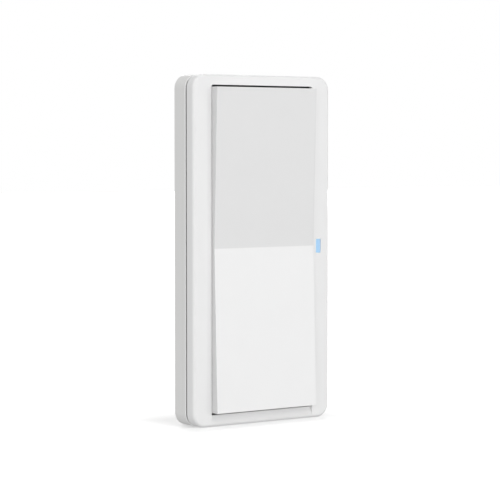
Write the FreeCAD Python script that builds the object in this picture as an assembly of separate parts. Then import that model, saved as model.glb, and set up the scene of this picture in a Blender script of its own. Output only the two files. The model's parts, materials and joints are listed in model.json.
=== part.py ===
"""A slim wall-mounted wireless rocker switch with a status light.

The wall face is the plane y = 0 and the front faces -Y, with +Z up and +X to the right of a person in front.
Depths are distances from the wall, in millimetres, so a depth d lies at y = -d.
"""

import FreeCAD, Part
import math
import os

from FreeCAD import Vector

OUT = "parts"

# ---- Driving dimensions, millimetres ----

# Outline
HEIGHT = 115.0
WIDTH = 55.4
CORNER_R = 4.5
FRONT_EDGE_R = 1.0
BREAK_EDGE = 0.25
BASE_RIM_BEVEL = 0.33

# Depths of the casing
BASE_DEPTH = 6.0
SHADOW_GAP = 1.2
BEZEL_BACK = BASE_DEPTH + SHADOW_GAP
BEZEL_FRONT = 11.05
FACE_T = 1.6
FACE_BACK = BEZEL_FRONT - FACE_T

# Opening for the rocker
STILE = 7.15
TOP_RAIL = 3.3
BOTTOM_RAIL = 3.85
OPENING_W = WIDTH - 2 * STILE
OPENING_TOP = HEIGHT / 2 - TOP_RAIL
OPENING_BOTTOM = -HEIGHT / 2 + BOTTOM_RAIL
OPENING_R = 0.6
RAMP_DEPTH = 1.3
RAMP_END = -HEIGHT / 2 + FRONT_EDGE_R
RAIL_BAR_BACK = 8.3

# Rocker
SIDE_GAP = 0.3
TOP_GAP = 0.7
BOTTOM_GAP = 0.75
ROCKER_W = OPENING_W - 2 * SIDE_GAP
ROCKER_TOP = OPENING_TOP - TOP_GAP
ROCKER_BOTTOM = OPENING_BOTTOM + BOTTOM_GAP
CREASE_Z = 0.9
CREASE_FRONT = 12.5
END_FRONT = 14.15
SLOPE = (END_FRONT - CREASE_FRONT) / (CREASE_Z - ROCKER_BOTTOM)
CAP_T = 1.2
SKIRT_T = 1.2
SKIRT_BACK = 9.4
CARRIER_T = 1.0
CARRIER_W = 28.0
CARRIER_HALF_H = 48.0

# Pivot
AXLE_DEPTH = 9.6
AXLE_R = 0.9
RUNNING_GAP = 0.05
AXLE_LENGTH = 35.6
EAR_R = 1.5
EAR_INNER = 15.2
EAR_OUTER = 17.7
BOSS_R = 1.6
BOSS_INNER = 11.0
BOSS_OUTER = 13.5

# Wall base
WALL_T = 1.8
LIP_T = 0.4
LIP_H = 1.2
FLOOR_T = 1.6
FIT_GAP = 0.3
SCREW_SPACING = 83.3
WALL_SCREW_R = 2.0
PAD_W = 40.0
PAD_H = 16.0
PAD_T = 0.8
PAD_Z = 15.0
MAGNET_R = 3.2
MAGNET_T = 1.0
MAGNET_X = 14.0
MAGNET_Z = 32.0

# Module shell behind the bezel
SHELL_W = WIDTH - 2 * (WALL_T + FIT_GAP)
SHELL_H = HEIGHT - 2 * (WALL_T + FIT_GAP)
SHELL_R = CORNER_R - WALL_T - FIT_GAP
SHELL_WALL = 1.4
SHELL_BACK = 1.7
SHELL_FLOOR = 2.9
HEAD_ROOM_R = 4.5
HEAD_ROOM_DEPTH = 4.1
HEAD_ROOM_WALL = 0.9
CASE_POST_X = 22.2
CASE_POST_Z = 48.0
CASE_POST_R = 1.7
STRIKE_W = 38.0
STRIKE_H = 7.0
STRIKE_T = 0.8

# Circuit board
BOARD_BACK = 6.6
BOARD_FRONT = 7.6
BOARD_W = 39.6
BOARD_H = 106.0
BOARD_CORNER_R = 1.5
TAB_REACH = 24.0
TAB_H = 10.0
STANDOFF_X = 16.5
STANDOFF_Z = 47.5
STANDOFF_R = 1.8

# Components on the board: size along X, size along Z, thickness
SHIELD_X = 0.0
SHIELD_Z = 12.0
SHIELD_SIZE = 11.0
SHIELD_T = 1.5
SHIELD_WALL = 0.2
CHIP_SIZE = 6.0
CHIP_T = 0.85
CRYSTAL = (3.2, 2.5, 0.7)
CRYSTAL_GAP = 2.5
ANTENNA = (7.0, 2.0, 1.2)
ANTENNA_EDGE = 10.0
CAPACITOR = (0.8, 1.6, 0.8)
CAPACITOR_PITCH = 2.0
CAPACITOR_COUNT = 6
CAPACITOR_ROW = 8.5
RESISTOR = (1.6, 0.8, 0.4)
RESISTOR_PITCH = 3.0
RESISTOR_COUNT = 5
RESISTOR_ROW = -8.0
REGULATOR = (2.9, 1.6, 1.1)
REGULATOR_X = -9.0
RESERVOIR = (3.5, 2.8, 1.5)
RESERVOIR_X = -3.0
SUPPLY_Z = -12.0

# Small screws
SHANK_R = 0.75
SHANK_CLEAR_R = 0.85
HEAD_R = 1.45
HEAD_T = 0.8
HEAD_SINK_R = 1.6
RECESS_L = 1.7
RECESS_W = 0.4
RECESS_T = 0.4
FRAME_SCREW_STOP = 1.3

# Coin cell and its door
CELL_Z = -12.0
CELL_R = 10.0
CELL_T = 3.2
CELL_BACK = 3.0
CELL_STEP_R = 8.9
CELL_STEP_T = 0.4
CLIP_BACK = 4.2
CLIP_T = 0.3
CLIP_GAP = 0.05
CLIP_FOOT_L = 2.0
CLIP_FOOT_W = 2.5
CONTACT_R = 5.0
CONTACT_T = 0.2
CONTACT_FOOT_R = 3.0
DOOR_R = 12.0
DOOR_GAP = 0.3
DOOR_T = 1.0
DOOR_RIM_R = 11.0
LUG_R = 13.2
LUG_BACK = SHELL_FLOOR + 0.3
LUG_T = 0.6
LUG_HALF_ANGLE = 10.0
NOTCH_HALF_ANGLE = 13.0
NOTCH_OFFSET = 60.0
COIN_SLOT_L = 14.0
COIN_SLOT_W = 1.8
COIN_SLOT_T = 0.6

# Pivot frame and push pins
FRAME_W = 35.6
FRAME_H = 99.0
FRAME_BACK = 7.9
FRAME_FRONT = 9.1
RAIL_W = 3.0
PIN_Z = 27.0
ROCK_LIMIT_DEG = 1.5
PIN_STROKE = PIN_Z * math.sin(math.radians(ROCK_LIMIT_DEG))
CROSS_BAR_H = 7.0
PIN_R = 1.0
BUSH_R = 1.85
BUSH_FRONT = 10.2
PIN_HEAD_R = 2.6
PIN_HEAD_BACK = 11.0
PIN_HEAD_FRONT = 11.5
PIN_TIP_R = 1.0
PIN_TIP_FRONT = 11.7
BUMPER_R = 2.0
BUMPER_BACK = PIN_TIP_FRONT + RUNNING_GAP
CONTACT_PAD_T = 0.05
CONTACT_PAD_R = 1.6
PILL_T = 0.5
PILL_BACK = BOARD_FRONT + 2 * CONTACT_PAD_T + PIN_STROKE
SPRING_WIRE_R = 0.11
SPRING_R = 2.2
SPRING_TURNS = 3

# Indicator
WINDOW_X = OPENING_W / 2 + 2.6
WINDOW_Z = 0.65
WINDOW_W = 2.0
WINDOW_H = 4.7
WINDOW_INSET = 0.15
LENS_BACK = 9.9
PIPE_BACK = 8.5
LED_W = 1.6
LED_T = 0.7
LED_INWARD = 0.1

# Pairing button
PAIR_X = 12.0
PAIR_Z = 18.0
PAIR_R = 1.8
PAIR_FACE = 1.9
PAIR_FLANGE_R = 2.6
PAIR_FLANGE_BACK = SHELL_FLOOR + 0.3
PAIR_FLANGE_T = 0.5
PAIR_SWITCH_SIZE = 4.5
PAIR_SWITCH_T = 1.6
PLUNGER_R = 0.9
PLUNGER_SUNK = 0.4
PAIR_TRAVEL = 0.3


# ---- Helpers ----

def slab(width, height, near, far, x=0.0, z=0.0):
    """A block centred on (x, z) that fills the depths from near to far."""
    corner = Vector(x - width / 2, -far, z - height / 2)
    return Part.makeBox(width, far - near, height, corner)


def disc(radius, near, far, x=0.0, z=0.0):
    """A cylinder along the depth, centred on (x, z)."""
    return Part.makeCylinder(radius, far - near, Vector(x, -near, z), Vector(0, -1, 0))


def rod(radius, x_low, x_high, depth, z=0.0):
    """A cylinder along X."""
    return Part.makeCylinder(radius, x_high - x_low, Vector(x_low, -depth, z), Vector(1, 0, 0))


def rounded_slab(width, height, radius, near, far, x=0.0, z=0.0):
    """A slab with its four corners rounded as seen from the front."""
    block = slab(width, height, near, far, x, z)
    corners = [e for e in block.Edges if abs(e.BoundBox.YLength - (far - near)) < 1e-6]
    return block.makeFillet(radius, corners)


def edges_at(shape, depth):
    """The edges that lie wholly in the plane at this depth."""
    found = []
    for edge in shape.Edges:
        box = edge.BoundBox
        if abs(box.YMin + depth) < 1e-5 and abs(box.YMax + depth) < 1e-5:
            found.append(edge)
    return found


def joined(shapes):
    """One solid out of shapes that touch or cross."""
    return shapes[0].multiFuse(shapes[1:]).removeSplitter()


def without(shape, tools):
    """The shape with every tool cut away."""
    return shape.cut(tools).removeSplitter()


def prism(points, width, x=0.0):
    """A solid whose side outline is a list of (z, depth) points."""
    corners = [Vector(x - width / 2, -depth, z) for z, depth in points]
    outline = Part.makePolygon(corners + corners[:1])
    return Part.Face(outline).extrude(Vector(width, 0, 0))


def sector(radius, half_angle, middle_angle, near, far, z):
    """A pie slice along the depth, its middle at middle_angle from +X towards +Z."""
    slice_ = Part.makeCylinder(radius, far - near, Vector(0, 0, 0), Vector(0, 0, 1), 2 * half_angle)
    slice_.rotate(Vector(0, 0, 0), Vector(0, 0, 1), -half_angle)
    slice_.rotate(Vector(0, 0, 0), Vector(1, 0, 0), 90)
    slice_.rotate(Vector(0, 0, 0), Vector(0, -1, 0), middle_angle)
    slice_.translate(Vector(0, -near, z))
    return slice_


def both_signs(x, z):
    """The four places at plus and minus x and z."""
    return [(sx * x, sz * z) for sx in (-1, 1) for sz in (-1, 1)]


def write(name, shape):
    """Writes one sub-part's STEP file."""
    shape.exportStep(os.path.join(OUT, name + ".step"))
    box = shape.BoundBox
    print(f"{name}: solids {len(shape.Solids)}, valid {shape.isValid()}, volume {shape.Volume:.2f}, "
          f"{box.XLength:.2f} x {box.YLength:.2f} x {box.ZLength:.2f}")


def screw(x, z, seat, tip):
    """A pan-head screw along the depth: its head rests at the seat, its shank ends at the tip."""
    away = math.copysign(1, seat - tip)
    top = seat + away * HEAD_T
    head = disc(HEAD_R, min(seat, top), max(seat, top), x, z)
    shank = disc(SHANK_R, min(seat, tip), max(seat, tip), x, z)
    near, far = sorted((top, top - away * RECESS_T))
    cross = [slab(RECESS_L, RECESS_W, near, far, x, z), slab(RECESS_W, RECESS_L, near, far, x, z)]
    return without(joined([head, shank]), cross)


# ---- Wall base ----

def wall_base():
    """The tray that is screwed or stuck to the wall, with a thin lip so that the shadow line is deep."""
    tray = rounded_slab(WIDTH, HEIGHT, CORNER_R, 0, BASE_DEPTH)
    tray = tray.makeChamfer(BASE_RIM_BEVEL, edges_at(tray, BASE_DEPTH))
    inside = rounded_slab(WIDTH - 2 * WALL_T, HEIGHT - 2 * WALL_T, CORNER_R - WALL_T, FLOOR_T, BASE_DEPTH + 1)
    step = BASE_DEPTH - LIP_H
    lip = rounded_slab(WIDTH - 2 * LIP_T, HEIGHT - 2 * LIP_T, CORNER_R - LIP_T, step, BASE_DEPTH + 1)
    tools = [inside, lip]
    for side in (-1, 1):
        tools.append(disc(WALL_SCREW_R, -1, FLOOR_T + 1, 0, side * SCREW_SPACING / 2))
        tools.append(slab(PAD_W, PAD_H, -1, PAD_T, 0, side * PAD_Z))
    for x, z in both_signs(MAGNET_X, MAGNET_Z):
        tools.append(disc(MAGNET_R, FLOOR_T - MAGNET_T, FLOOR_T + 1, x, z))
    return without(tray, tools)


def adhesive_pads():
    """Two foam pads let into the back of the base."""
    return Part.Compound([slab(PAD_W, PAD_H, 0, PAD_T, 0, side * PAD_Z) for side in (-1, 1)])


def base_magnets():
    """Four disc magnets let into the base's floor."""
    places = both_signs(MAGNET_X, MAGNET_Z)
    return Part.Compound([disc(MAGNET_R, FLOOR_T - MAGNET_T, FLOOR_T, x, z) for x, z in places])


# ---- Casing of the module ----

def rear_cover():
    """The module's back shell, which drops into the base's tray."""
    shell = rounded_slab(SHELL_W, SHELL_H, SHELL_R, SHELL_BACK, BOARD_FRONT)
    shell = shell.makeChamfer(BREAK_EDGE, edges_at(shell, SHELL_BACK))
    inside_w = SHELL_W - 2 * SHELL_WALL
    inside_h = SHELL_H - 2 * SHELL_WALL
    inside = rounded_slab(inside_w, inside_h, SHELL_R - SHELL_WALL, SHELL_FLOOR, BOARD_FRONT + 1)
    pieces = [without(shell, [inside])]
    tools = []
    for side in (-1, 1):
        z = side * SCREW_SPACING / 2
        pieces.append(disc(HEAD_ROOM_R + HEAD_ROOM_WALL, SHELL_FLOOR, HEAD_ROOM_DEPTH + HEAD_ROOM_WALL, 0, z))
        tools.append(disc(HEAD_ROOM_R, SHELL_BACK - 1, HEAD_ROOM_DEPTH, 0, z))
    for x, z in both_signs(CASE_POST_X, CASE_POST_Z):
        rib_w = SHELL_W / 2 - SHELL_WALL / 2 - CASE_POST_X
        rib_x = math.copysign(CASE_POST_X + rib_w / 2, x)
        pieces.append(disc(CASE_POST_R, SHELL_BACK, BOARD_FRONT, x, z))
        pieces.append(slab(rib_w, SHELL_WALL, SHELL_BACK, BOARD_BACK, rib_x, z))
        tools.append(disc(SHANK_CLEAR_R, SHELL_BACK - 1, BOARD_FRONT + 1, x, z))
        tools.append(disc(HEAD_SINK_R, SHELL_BACK - 1, SHELL_BACK + HEAD_T + BREAK_EDGE, x, z))
    for x, z in both_signs(STANDOFF_X, STANDOFF_Z):
        pieces.append(disc(STANDOFF_R, SHELL_BACK, BOARD_BACK, x, z))
        tools.append(disc(SHANK_R, SHELL_FLOOR + 1, BOARD_BACK + 1, x, z))
    tools.append(disc(DOOR_R + DOOR_GAP, SHELL_BACK - 1, SHELL_FLOOR + 1, 0, CELL_Z))
    for turn in range(3):
        angle = 90 + 120 * turn + NOTCH_OFFSET
        far = SHELL_FLOOR + 1
        tools.append(sector(LUG_R + DOOR_GAP, NOTCH_HALF_ANGLE, angle, SHELL_BACK - 1, far, CELL_Z))
    tools.append(disc(PAIR_R + FIT_GAP / 2, SHELL_BACK - 1, SHELL_FLOOR + 1, PAIR_X, PAIR_Z))
    return without(joined(pieces), tools)


def front_bezel():
    """The front frame around the rocker, with a sloped finger scoop in its bottom rail."""
    frame = rounded_slab(WIDTH, HEIGHT, CORNER_R, BEZEL_BACK, BEZEL_FRONT)
    frame = frame.makeFillet(FRONT_EDGE_R, edges_at(frame, BEZEL_FRONT))
    frame = frame.makeChamfer(BREAK_EDGE / 2, edges_at(frame, BEZEL_BACK))
    wall = FACE_T
    inside = rounded_slab(WIDTH - 2 * wall, HEIGHT - 2 * wall, CORNER_R - wall, BEZEL_BACK - 1, FACE_BACK)
    frame = without(frame, [inside])
    bar_h = BOTTOM_RAIL - wall / 2
    bar_z = OPENING_BOTTOM - bar_h / 2
    pieces = [frame, slab(OPENING_W, bar_h, RAIL_BAR_BACK, FACE_BACK + wall / 2, 0, bar_z)]
    tools = []
    for x, z in both_signs(CASE_POST_X, CASE_POST_Z):
        pieces.append(disc(CASE_POST_R, BOARD_FRONT, FACE_BACK + wall / 2, x, z))
        tools.append(disc(SHANK_R, BOARD_FRONT - 1, FACE_BACK, x, z))
    opening_h = OPENING_TOP - OPENING_BOTTOM
    opening_z = (OPENING_TOP + OPENING_BOTTOM) / 2
    tools.append(rounded_slab(OPENING_W, opening_h, OPENING_R, 0, BEZEL_FRONT + 1, 0, opening_z))
    ramp = [
        (OPENING_BOTTOM, BEZEL_FRONT - RAMP_DEPTH),
        (OPENING_BOTTOM, BEZEL_FRONT + 1),
        (RAMP_END, BEZEL_FRONT + 1),
        (RAMP_END, BEZEL_FRONT),
    ]
    tools.append(prism(ramp, OPENING_W))
    tools.append(slab(WINDOW_W, WINDOW_H, PIPE_BACK, BEZEL_FRONT + 1, WINDOW_X, WINDOW_Z))
    return without(joined(pieces), tools)


def case_screws():
    """Four screws from the back that hold the bezel to the rear cover."""
    seat = SHELL_BACK + BREAK_EDGE + HEAD_T
    return Part.Compound([screw(x, z, seat, FACE_BACK) for x, z in both_signs(CASE_POST_X, CASE_POST_Z)])


def strike_plates():
    """Two steel strips that the base's magnets hold."""
    plates = [slab(STRIKE_W, STRIKE_H, SHELL_FLOOR, SHELL_FLOOR + STRIKE_T, 0, s * MAGNET_Z) for s in (-1, 1)]
    return Part.Compound(plates)


# ---- Battery ----

def battery_door():
    """A round door with three bayonet lugs and a slot for a coin."""
    face = disc(DOOR_R, SHELL_BACK, SHELL_BACK + DOOR_T, 0, CELL_Z)
    rim = disc(DOOR_R, SHELL_BACK, LUG_BACK + LUG_T, 0, CELL_Z)
    rim = rim.cut(disc(DOOR_RIM_R, SHELL_BACK - 1, LUG_BACK + LUG_T + 1, 0, CELL_Z))
    pieces = [face, rim]
    for turn in range(3):
        lug = sector(LUG_R, LUG_HALF_ANGLE, 90 + 120 * turn, LUG_BACK, LUG_BACK + LUG_T, CELL_Z)
        pieces.append(lug.cut(disc(DOOR_RIM_R, 0, BOARD_BACK, 0, CELL_Z)))
    slot = slab(COIN_SLOT_L, COIN_SLOT_W, SHELL_BACK - 1, SHELL_BACK + COIN_SLOT_T, 0, CELL_Z)
    return without(joined(pieces), [slot])


def coin_cell():
    """A 20 mm coin cell, its smaller negative face towards the board."""
    can = disc(CELL_R, CELL_BACK, CELL_BACK + CELL_T - CELL_STEP_T, 0, CELL_Z)
    return joined([can, disc(CELL_STEP_R, CELL_BACK, CELL_BACK + CELL_T, 0, CELL_Z)])


def battery_clip():
    """The positive contact: a sprung strip round half of the cell, with two feet on the board."""
    inner = CELL_R + CLIP_GAP
    band = disc(inner + CLIP_T, CLIP_BACK, BOARD_BACK, 0, CELL_Z).cut(disc(inner, 0, BOARD_FRONT, 0, CELL_Z))
    band = band.common(slab(4 * CELL_R, 2 * CELL_R, CLIP_BACK, BOARD_BACK, 0, CELL_Z + CELL_R))
    feet = []
    for side in (-1, 1):
        foot_x = side * (inner + CLIP_T / 2 + CLIP_FOOT_L / 2)
        foot_z = CELL_Z + CLIP_FOOT_W / 2
        feet.append(slab(CLIP_FOOT_L, CLIP_FOOT_W, BOARD_BACK - CLIP_T, BOARD_BACK, foot_x, foot_z))
    return joined([band] + feet)


def battery_contact():
    """The negative contact: a thin sprung plate between the cell and the board."""
    near = CELL_BACK + CELL_T
    foot = disc(CONTACT_FOOT_R, near + CONTACT_T, BOARD_BACK, 0, CELL_Z)
    return joined([disc(CONTACT_R, near, near + CONTACT_T, 0, CELL_Z), foot])


# ---- Circuit board ----

def main_board():
    """The circuit board, with a tab on the right that carries the status light."""
    board = rounded_slab(BOARD_W, BOARD_H, BOARD_CORNER_R, BOARD_BACK, BOARD_FRONT)
    tab_w = TAB_REACH - BOARD_W / 2 + 1
    tab = slab(tab_w, TAB_H, BOARD_BACK, BOARD_FRONT, TAB_REACH - tab_w / 2, 0)
    places = both_signs(STANDOFF_X, STANDOFF_Z)
    holes = [disc(SHANK_CLEAR_R, BOARD_BACK - 1, BOARD_FRONT + 1, x, z) for x, z in places]
    return without(joined([board, tab]), holes)


def on_board(size_x, size_z, thickness, x, z):
    """A component on the board's front."""
    return slab(size_x, size_z, BOARD_FRONT, BOARD_FRONT + thickness, x, z)


def row(count, pitch):
    """Evenly spaced places along X, centred on the middle."""
    return [(i - (count - 1) / 2) * pitch for i in range(count)]


def radio_shield():
    """The pressed can over the radio chip."""
    can = on_board(SHIELD_SIZE, SHIELD_SIZE, SHIELD_T, SHIELD_X, SHIELD_Z)
    inner = SHIELD_SIZE - 2 * SHIELD_WALL
    return can.cut(on_board(inner, inner, SHIELD_T - SHIELD_WALL, SHIELD_X, SHIELD_Z))


def radio_chip():
    """The radio microcontroller under the can."""
    return on_board(CHIP_SIZE, CHIP_SIZE, CHIP_T, SHIELD_X, SHIELD_Z)


def crystal():
    """The timing crystal."""
    return on_board(*CRYSTAL, SHIELD_X + SHIELD_SIZE / 2 + CRYSTAL_GAP, SHIELD_Z)


def chip_antenna():
    """A ceramic antenna near the top edge, away from the battery."""
    return on_board(*ANTENNA, 0, BOARD_H / 2 - ANTENNA_EDGE)


def capacitors():
    """A row of ceramic capacitors above the radio."""
    places = row(CAPACITOR_COUNT, CAPACITOR_PITCH)
    return Part.Compound([on_board(*CAPACITOR, x, SHIELD_Z + CAPACITOR_ROW) for x in places])


def resistors():
    """A row of chip resistors below the radio."""
    places = row(RESISTOR_COUNT, RESISTOR_PITCH)
    return Part.Compound([on_board(*RESISTOR, x, SHIELD_Z + RESISTOR_ROW) for x in places])


def voltage_regulator():
    """The supply regulator beside the battery's feed."""
    return on_board(*REGULATOR, REGULATOR_X, SUPPLY_Z)


def supply_capacitor():
    """The larger reservoir capacitor beside the regulator."""
    return on_board(*RESERVOIR, RESERVOIR_X, SUPPLY_Z)


def contact_pads():
    """The two plated pads that the push pins close."""
    far = BOARD_FRONT + CONTACT_PAD_T
    return Part.Compound([disc(CONTACT_PAD_R, BOARD_FRONT, far, 0, side * PIN_Z) for side in (-1, 1)])


def status_led():
    """The light behind the indicator window."""
    return on_board(LED_W, LED_W, LED_T, WINDOW_X - LED_INWARD, WINDOW_Z)


def light_pipe():
    """The clear block that carries the light to the window."""
    return slab(WINDOW_W, WINDOW_H, PIPE_BACK, LENS_BACK, WINDOW_X, WINDOW_Z)


def indicator_window():
    """The tinted window in the right stile, a little below the face."""
    return slab(WINDOW_W, WINDOW_H, LENS_BACK, BEZEL_FRONT - WINDOW_INSET, WINDOW_X, WINDOW_Z)


# ---- Pivot frame and push pins ----

def pivot_frame():
    """The frame on the board that holds the rocker's axle and guides the push pins."""
    middle_h = FRAME_H - 2 * RAIL_W
    ring = slab(FRAME_W, FRAME_H, FRAME_BACK, FRAME_FRONT)
    ring = ring.cut(slab(FRAME_W - 2 * RAIL_W, middle_h, FRAME_BACK - 1, FRAME_FRONT + 1))
    pieces = [ring]
    tools = []
    for side in (-1, 1):
        pieces.append(slab(FRAME_W - RAIL_W, CROSS_BAR_H, FRAME_BACK, FRAME_FRONT, 0, side * PIN_Z))
        pieces.append(disc(BUSH_R, FRAME_BACK, BUSH_FRONT, 0, side * PIN_Z))
        tools.append(disc(PIN_R + RUNNING_GAP, FRAME_BACK - 1, BUSH_FRONT + 1, 0, side * PIN_Z))
        low, high = sorted((side * EAR_INNER, side * EAR_OUTER))
        pieces.append(rod(EAR_R, low, high, AXLE_DEPTH))
        pieces.append(slab(high - low, 2 * EAR_R, FRAME_BACK, AXLE_DEPTH, (low + high) / 2, 0))
        tools.append(rod(AXLE_R + RUNNING_GAP, low - 1, high + 1, AXLE_DEPTH))
    for x, z in both_signs(STANDOFF_X, STANDOFF_Z):
        pieces.append(disc(STANDOFF_R, BOARD_FRONT, FRAME_FRONT, x, z))
        tools.append(disc(SHANK_CLEAR_R, BOARD_FRONT - 1, FRAME_FRONT + 1, x, z))
    return without(joined(pieces), tools)


def frame_screws():
    """Four screws that clamp the frame and the board to the rear cover."""
    places = both_signs(STANDOFF_X, STANDOFF_Z)
    return Part.Compound([screw(x, z, FRAME_FRONT, SHELL_FLOOR + FRAME_SCREW_STOP) for x, z in places])


def push_pin(side):
    """A flanged pin that the rocker presses towards the board."""
    z = side * PIN_Z
    stem = disc(PIN_R, PILL_BACK + PILL_T, PIN_HEAD_FRONT, 0, z)
    head = disc(PIN_HEAD_R, PIN_HEAD_BACK, PIN_HEAD_FRONT, 0, z)
    tip = disc(PIN_TIP_R, PIN_HEAD_BACK, PIN_TIP_FRONT, 0, z)
    return joined([stem, head, tip])


def contact_pill(side):
    """The conductive tip on the pin's tail."""
    return disc(PIN_R, PILL_BACK, PILL_BACK + PILL_T, 0, side * PIN_Z)


def return_spring(side):
    """The coil spring between the frame and the pin's flange."""
    length = PIN_HEAD_BACK - FRAME_FRONT - 2 * SPRING_WIRE_R
    path = Part.makeHelix(length / SPRING_TURNS, length, SPRING_R)
    ring = Part.makeCircle(SPRING_WIRE_R, Vector(SPRING_R, 0, 0), Vector(0, 1, 0))
    coil = Part.Wire(path.Edges).makePipeShell([Part.Wire([ring])], True, True)
    coil.rotate(Vector(0, 0, 0), Vector(1, 0, 0), 90)
    coil.translate(Vector(0, -(FRAME_FRONT + SPRING_WIRE_R), side * PIN_Z))
    return Part.makeSolid(Part.Shell(coil.Faces)) if not coil.Solids else coil.Solids[0]


# ---- Rocker ----

def vee_depth(z, crease):
    """The depth at height z of a V-shaped face whose crease lies at a depth."""
    return crease + SLOPE * abs(z - CREASE_Z)


def vee_outline(low, high, crease, back):
    """The rocker's side outline: a shallow V in front and a level back."""
    return [
        (low, back),
        (low, vee_depth(low, crease)),
        (CREASE_Z, crease),
        (high, vee_depth(high, crease)),
        (high, back),
    ]


def rocker_cap():
    """The visible rocker: a shallow V in front, with skirts that hide the works."""
    body = prism(vee_outline(ROCKER_BOTTOM, ROCKER_TOP, CREASE_FRONT, SKIRT_BACK), ROCKER_W)
    low = ROCKER_BOTTOM + SKIRT_T
    high = ROCKER_TOP - SKIRT_T
    inner = vee_outline(low, high, CREASE_FRONT - CAP_T, SKIRT_BACK - 1)
    hollow = prism(inner, ROCKER_W - 2 * SKIRT_T)
    return without(body, [hollow])


def rocker_carrier():
    """The stiff plate inside the cap that carries the axle."""
    crease = CREASE_FRONT - CAP_T
    low_end = vee_depth(-CARRIER_HALF_H, crease)
    high_end = vee_depth(CARRIER_HALF_H, crease)
    outline = [
        (-CARRIER_HALF_H, low_end),
        (CREASE_Z, crease),
        (CARRIER_HALF_H, high_end),
        (CARRIER_HALF_H, high_end - CARRIER_T),
        (CREASE_Z, crease - CARRIER_T),
        (-CARRIER_HALF_H, low_end - CARRIER_T),
    ]
    pieces = [prism(outline, CARRIER_W)]
    tools = []
    for side in (-1, 1):
        low, high = sorted((side * BOSS_INNER, side * BOSS_OUTER))
        pieces.append(rod(BOSS_R, low, high, AXLE_DEPTH))
        pieces.append(slab(high - low, 2 * BOSS_R, AXLE_DEPTH, crease - CARRIER_T / 2, (low + high) / 2, 0))
        tools.append(disc(PIN_HEAD_R + 1, AXLE_DEPTH, END_FRONT, 0, side * PIN_Z))
    tools.append(rod(AXLE_R, -CARRIER_W, CARRIER_W, AXLE_DEPTH))
    return without(joined(pieces), tools)


def pivot_axle():
    """The steel axle, pressed into the carrier and turning in the frame's ears."""
    return rod(AXLE_R, -AXLE_LENGTH / 2, AXLE_LENGTH / 2, AXLE_DEPTH)


def rocker_bumpers(cap):
    """Two rubber pads inside the cap that meet the push pins."""
    pads = [disc(BUMPER_R, BUMPER_BACK, CREASE_FRONT, 0, side * PIN_Z) for side in (-1, 1)]
    return Part.Compound([pad.cut(cap) for pad in pads])


# ---- Pairing button ----

def pair_button():
    """The button reached from the back once the module is off the wall."""
    flange_far = PAIR_FLANGE_BACK + PAIR_FLANGE_T
    stem = disc(PAIR_R, PAIR_FACE, flange_far, PAIR_X, PAIR_Z)
    return joined([stem, disc(PAIR_FLANGE_R, PAIR_FLANGE_BACK, flange_far, PAIR_X, PAIR_Z)])


def pair_plunger():
    """The switch's plunger, which the button rests on."""
    near = PAIR_FLANGE_BACK + PAIR_FLANGE_T
    far = BOARD_BACK - PAIR_SWITCH_T + PLUNGER_SUNK
    return disc(PLUNGER_R, near, far, PAIR_X, PAIR_Z)


def pair_switch():
    """The switch's body on the back of the board."""
    body_back = BOARD_BACK - PAIR_SWITCH_T
    body = slab(PAIR_SWITCH_SIZE, PAIR_SWITCH_SIZE, body_back, BOARD_BACK, PAIR_X, PAIR_Z)
    well_far = body_back + PLUNGER_SUNK + PAIR_TRAVEL + RUNNING_GAP
    return body.cut(disc(PLUNGER_R + RUNNING_GAP, body_back - 1, well_far, PAIR_X, PAIR_Z))


def main():
    os.makedirs(OUT, exist_ok=True)
    makers = [
        wall_base, adhesive_pads, base_magnets,
        rear_cover, front_bezel, case_screws, strike_plates,
        battery_door, coin_cell, battery_clip, battery_contact,
        main_board, radio_shield, radio_chip, crystal, chip_antenna, capacitors, resistors,
        voltage_regulator, supply_capacitor, contact_pads, status_led, light_pipe, indicator_window,
        pivot_frame, frame_screws, rocker_carrier, pivot_axle,
        pair_button, pair_plunger, pair_switch,
    ]
    for make in makers:
        write(make.__name__, make())
    cap = rocker_cap()
    write("rocker_cap", cap)
    write("rocker_bumpers", rocker_bumpers(cap))
    for name, side in (("upper", 1), ("lower", -1)):
        write(name + "_push_pin", push_pin(side))
        write(name + "_contact_pill", contact_pill(side))
        write(name + "_return_spring", return_spring(side))


main()
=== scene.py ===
# %% [markdown]
# # A slim wireless rocker switch, finished in Blender
# The switch is a white moulded casing that lies flat on a wall. Its front holds one tall rocker with a
# shallow V, and a small blue window in the right stile shows its state. The engineering model gives the
# sizes, the places and the moving bodies. This lesson gives every piece its final mesh and its finish.
# Lengths are in metres, the wall face is y = 0, the front faces -Y and +Z is up.

# %% Load the frame
import json
import math

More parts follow.
